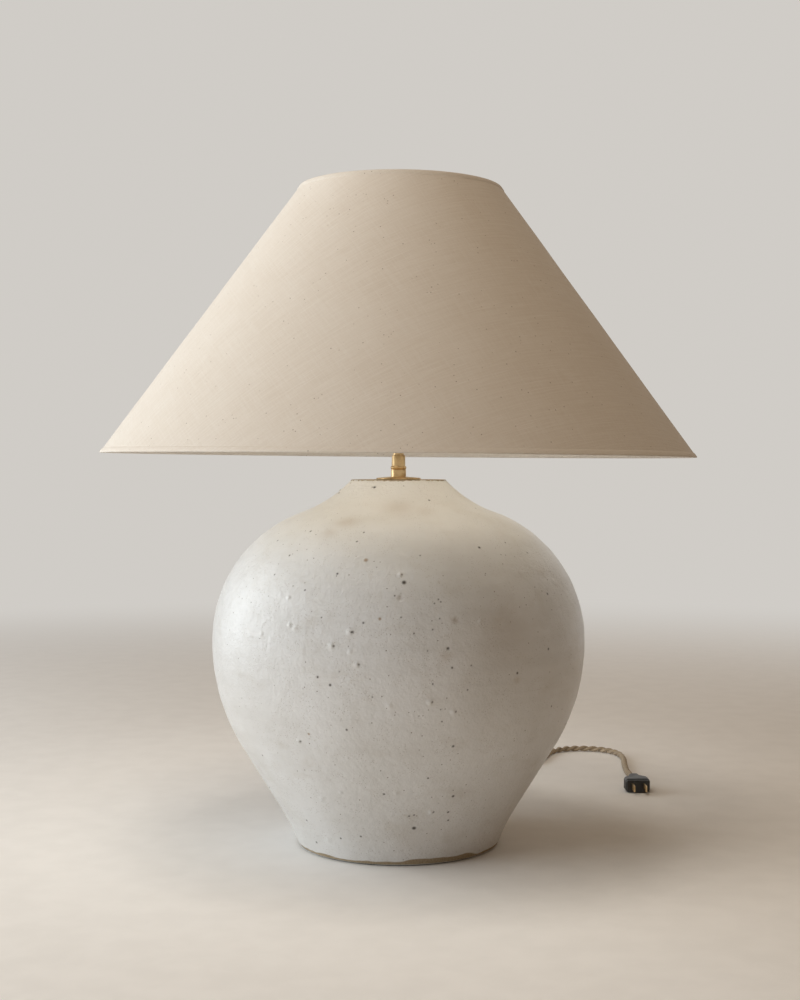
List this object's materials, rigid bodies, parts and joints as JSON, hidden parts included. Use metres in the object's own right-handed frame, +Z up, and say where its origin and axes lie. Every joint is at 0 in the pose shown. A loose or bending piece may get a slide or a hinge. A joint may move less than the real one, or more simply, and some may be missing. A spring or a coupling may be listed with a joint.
{
  "type": "ceramic table lamp",
  "caption": "Table lamp: a thrown stoneware vessel on a felt foot, with a brass neck, a harp, a turn-switch socket, a wide linen empire shade and a cloth cord.",
  "frame": {"origin": "where the lamp's axis meets the surface it stands on", "axes": "+Z up along the lamp's axis, front at -Y, cord leaves the foot at +Y"},
  "size_m": [0.5567, 0.7264, 0.6258],
  "materials": {
    "glazed_stoneware": "matte off-white glaze, bare tan clay at the foot",
    "brass": "satin, aged",
    "lamp_steel": "zinc plated",
    "brass_wire": "plated wire",
    "felt": "pressed wool felt",
    "linen": "natural linen, slubbed",
    "shade_lining": "white styrene lining",
    "cloth_cord": "twisted cloth-covered cord",
    "lead_insulation": "insulated lead",
    "tie_strap": "soft strap",
    "black_plastic": "moulded",
    "grommet_rubber": "moulded",
    "fibre": "pressed fibre sleeve",
    "phenolic": "moulded insulating block",
    "bulb_glass": "clear glass",
    "stem_glass": "clear glass",
    "bulb_cap_metal": "rolled thread",
    "bulb_black_glass": "vitrified insulator",
    "tungsten": "drawn wire"
  },
  "bodies": {
    "base": {"ceramic_body": "glazed_stoneware", "base_felt": "felt", "threaded_rod": "lamp_steel", "bottom_washer": "lamp_steel", "lock_washer": "lamp_steel", "bottom_nut": "lamp_steel", "vase_cap": "brass", "neck_collar": "brass", "neck_sleeve": "brass", "saddle_nut": "lamp_steel", "harp_saddle": "brass", "harp": "brass_wire", "harp_stud": "brass", "socket_cap": "brass", "socket_shell": "brass", "socket_liner": "fibre", "socket_block": "phenolic", "screw_shell": "brass", "centre_contact": "brass", "terminal_screws": "brass", "lead_wires": "lead_insulation", "cord_strain_relief": "grommet_rubber", "cord_base_run": "cloth_cord", "cord_coil": "cloth_cord", "coil_tie": "tie_strap", "cord_plug_run": "cloth_cord", "plug_body": "black_plastic", "plug_face": "black_plastic", "plug_blades": "brass"},
    "shade": {"shade_fabric": "linen", "shade_liner": "shade_lining", "shade_top_ring": "brass_wire", "shade_bottom_ring": "brass_wire", "top_trim": "linen", "bottom_trim": "linen", "spider_arms": "brass_wire", "spider_hub": "brass"},
    "finial": {"finial": "brass"},
    "switch": {"switch_shaft": "brass", "switch_knob": "black_plastic"},
    "bulb": {"bulb_glass": "bulb_glass", "bulb_cap": "bulb_cap_metal", "bulb_insulator": "bulb_black_glass", "bulb_contact": "lamp_steel", "bulb_stem": "stem_glass", "filament": "tungsten"},
    "left_harp_sleeve": {"left_harp_sleeve": "brass"},
    "right_harp_sleeve": {"right_harp_sleeve": "brass"}
  },
  "joints": [
    {"name": "shade_swivel", "type": "hinge", "parent": "base", "child": "shade", "pos_m": [0, 0, 0.3846], "axis": [0.0087, 0, 1], "continuous": true},
    {"name": "finial_turn", "type": "hinge", "parent": "base", "child": "finial", "pos_m": [0, 0, 0.3846], "axis": [0.0087, 0, 1], "continuous": true},
    {"name": "switch_turn", "type": "hinge", "parent": "base", "child": "switch", "pos_m": [0, 0, 0.4006], "axis": [0, -1, 0], "continuous": true},
    {"name": "bulb_turn", "type": "hinge", "parent": "base", "child": "bulb", "pos_m": [0, 0, 0.42], "axis": [0, 0, 1], "continuous": true},
    {"name": "left_sleeve_slide", "type": "slide", "parent": "base", "child": "left_harp_sleeve", "axis": [0.0087, 0, 1], "range_m": [0, 0.012]},
    {"name": "right_sleeve_slide", "type": "slide", "parent": "base", "child": "right_harp_sleeve", "axis": [0.0087, 0, 1], "range_m": [0, 0.012]}
  ]
}
